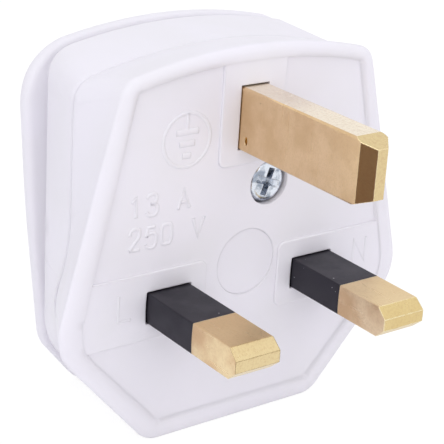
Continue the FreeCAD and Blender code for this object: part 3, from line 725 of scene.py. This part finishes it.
stageLook = {
    "floorSize": 4.0,
    "floorGap": 0.02 * mm,  # keeps the foot and the floor from lying in one plane
    "floorColour": (0.94, 0.935, 0.95),
    "shownColour": (0.98, 0.98, 0.98),
    "glow": 0.84,  # how much of the floor's white doesn't depend on the light
    "glowStrength": 1.06,
    "white": (1.0, 1.0, 1.0),
    "worldColour": (0.955, 0.952, 1.0),
    "worldLevel": 0.865,
    "lamps": [
        # name, place, aimed at, size, watts
        ("topPanel", (0.12, -0.08, 0.62), (0.0, 0.0, 0.03), 0.5, 0.5),
        ("leftPanel", (-0.50, -0.36, 0.36), (0.0, 0.0, 0.025), 0.5, 0.72),
        ("frontPanel", (-0.06, -0.64, 0.3), (0.0, 0.0, 0.025), 0.5, 0.5),
    ],
    "flagPlace": (-0.033, -0.0355, 0.027),
    "flagAim": (-0.0013, -0.021, 0.041),
    "flagSize": 0.042,
    "flagColour": (0.25, 0.155, 0.115),
    "flagRoughness": 0.9,
}


def seenDirectly(tree):
    # camera, mirror and clear rays see plain white
    path = addNode(tree, "ShaderNodeLightPath")
    either = addMath(tree, "MAXIMUM", path.outputs["Is Camera Ray"], path.outputs["Is Glossy Ray"])
    return addMath(tree, "MAXIMUM", either, path.outputs["Is Transmission Ray"])


def squareMesh(name, size):
    half = size / 2
    mesh = bpy.data.meshes.new(name)
    corners = [(-half, -half, 0.0), (half, -half, 0.0), (half, half, 0.0), (-half, half, 0.0)]
    mesh.from_pydata(corners, [], [(0, 1, 2, 3)])
    return mesh


def buildStage(look):
    mesh = squareMesh("floor", look["floorSize"])
    floor = bpy.data.objects.new("floor", mesh)
    floor.location.z = -look["floorGap"]
    bpy.context.scene.collection.objects.link(floor)
    material = bpy.data.materials.new("paleFloor")
    material.use_nodes = True
    tree = material.node_tree
    tree.nodes.remove(tree.nodes["Principled BSDF"])
    paint = addNode(tree, "ShaderNodeBsdfDiffuse", {"Color": (*look["floorColour"], 1.0)})
    shown = addNode(tree, "ShaderNodeBsdfDiffuse", {"Color": (*look["shownColour"], 1.0)})
    glow = addNode(
        tree, "ShaderNodeEmission", {"Color": (*look["white"], 1.0), "Strength": look["glowStrength"]}
    )
    lit = addNode(tree, "ShaderNodeMixShader", {0: look["glow"]})
    tree.links.new(shown.outputs[0], lit.inputs[1])
    tree.links.new(glow.outputs[0], lit.inputs[2])
    choose = addNode(tree, "ShaderNodeMixShader")
    tree.links.new(seenDirectly(tree), choose.inputs[0])
    tree.links.new(paint.outputs[0], choose.inputs[1])
    tree.links.new(lit.outputs[0], choose.inputs[2])
    tree.links.new(choose.outputs[0], tree.nodes["Material Output"].inputs["Surface"])
    mesh.materials.append(material)


def buildFlag(look):
    # a dark card beside the pins that only mirror rays see, so that the metal keeps its contrast
    mesh = squareMesh("flag", look["flagSize"])
    material, tree, surface = newFinish("darkCard")
    surface.inputs["Base Color"].default_value = (*look["flagColour"], 1.0)
    surface.inputs["Roughness"].default_value = look["flagRoughness"]
    mesh.materials.append(material)
    flag = bpy.data.objects.new("flag", mesh)
    flag.location = look["flagPlace"]
    aim = Vector(look["flagAim"]) - Vector(look["flagPlace"])
    flag.rotation_euler = aim.to_track_quat("Z", "Y").to_euler()
    bpy.context.scene.collection.objects.link(flag)
    flag.visible_camera = False
    flag.visible_diffuse = False
    flag.visible_shadow = False


def buildWorld(look):
    world = bpy.data.worlds.new("lightTent")
    bpy.context.scene.world = world
    world.use_nodes = True
    tree = world.node_tree
    soft = tree.nodes["Background"]
    soft.inputs["Color"].default_value = (*look["worldColour"], 1.0)
    soft.inputs["Strength"].default_value = look["worldLevel"]
    white = addNode(tree, "ShaderNodeBackground", {"Color": (*look["white"], 1.0), "Strength": 1.0})
    choose = addNode(tree, "ShaderNodeMixShader")
    tree.links.new(seenDirectly(tree), choose.inputs[0])
    tree.links.new(soft.outputs[0], choose.inputs[1])
    tree.links.new(white.outputs[0], choose.inputs[2])
    tree.links.new(choose.outputs[0], tree.nodes["World Output"].inputs["Surface"])


def buildLamps(look):
    for name, place, target, size, watts in look["lamps"]:
        lamp = bpy.data.lights.new(name, "AREA")
        lamp.shape = "SQUARE"
        lamp.size = size
        lamp.energy = watts
        holder = bpy.data.objects.new(name, lamp)
        holder.location = place
        aim = Vector(target) - Vector(place)
        holder.rotation_euler = aim.to_track_quat("-Z", "Y").to_euler()
        bpy.context.scene.collection.objects.link(holder)


photoCamera = {
    "azimuth": -37.46,  # degrees; 0 looks straight at the pins
    "elevation": 21.64,
    "roll": 3.68,
    "place": (-0.10586, -0.132085, 0.09451),
    "lens": 120.1,
    "sensor": 36.0,
    "nearest": 0.01,
}


def buildCamera(look):
    turn = math.radians(look["azimuth"])
    lift = math.radians(look["elevation"])
    roll = math.radians(look["roll"])
    back = Vector((math.sin(turn) * math.cos(lift), -math.cos(turn) * math.cos(lift), math.sin(lift)))
    level = Vector((math.cos(turn), math.sin(turn), 0.0))
    upright = back.cross(level)
    right = level * math.cos(roll) + upright * math.sin(roll)
    up = upright * math.cos(roll) - level * math.sin(roll)
    eye = bpy.data.cameras.new("photoCamera")
    eye.sensor_width = look["sensor"]
    eye.lens = look["lens"]
    eye.clip_start = look["nearest"]
    holder = bpy.data.objects.new("photoCamera", eye)
    pose = Matrix((right, up, back)).transposed().to_4x4()
    pose.translation = look["place"]
    holder.matrix_world = pose
    bpy.context.scene.collection.objects.link(holder)
    bpy.context.scene.camera = holder


buildStage(stageLook)
buildFlag(stageLook)
buildWorld(stageLook)
buildLamps(stageLook)
buildCamera(photoCamera)
bpy.context.scene.view_settings.view_transform = "Standard"
print("stage, light and camera set")
